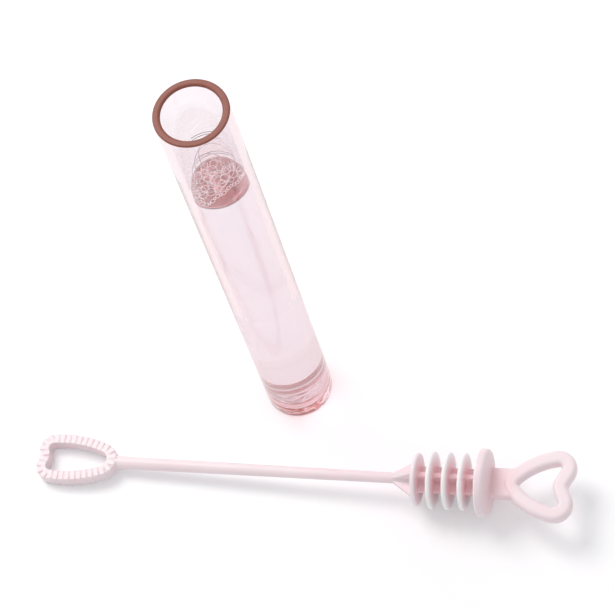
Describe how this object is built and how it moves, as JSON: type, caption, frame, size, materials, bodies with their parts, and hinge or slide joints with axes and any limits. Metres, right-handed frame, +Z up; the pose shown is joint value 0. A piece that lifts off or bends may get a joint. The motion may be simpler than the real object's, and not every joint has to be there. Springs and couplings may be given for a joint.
{
  "type": "bubble wand",
  "caption": "Slim clear tube of bubble solution with a one-piece wand: ribbed heart loop, stem, finned plug, flat cap and heart-shaped handle.",
  "frame": {"origin": "middle of the footprint of the tube and the wand, on the surface that they stand on", "axes": "+Z up along the tube, +X along the wand from its loop towards its handle, +Y from the wand towards the tube"},
  "size_m": [0.1222, 0.0386, 0.12],
  "materials": {
    "tube_plastic": "clear pink injection-moulded plastic, polished inside and out",
    "solution": "clear liquid with a faint pink tint",
    "foam": "thin clear soap films",
    "wand_plastic": "pale pink moulded polyethylene with a soft satin sheen"
  },
  "bodies": {
    "vial": {"tube": "tube_plastic", "solution": "solution", "foam": "foam"},
    "wand": {"bubble_loop": "wand_plastic", "stem": "wand_plastic", "plug_core": "wand_plastic", "sealing_fins": "wand_plastic", "cap": "wand_plastic", "neck": "wand_plastic", "heart_handle": "wand_plastic"}
  },
  "joints": [
    {"name": "wand_lift", "type": "slide", "parent": "vial", "child": "wand", "axis": [0, 0, 1], "range_m": [0, 0.13]}
  ]
}
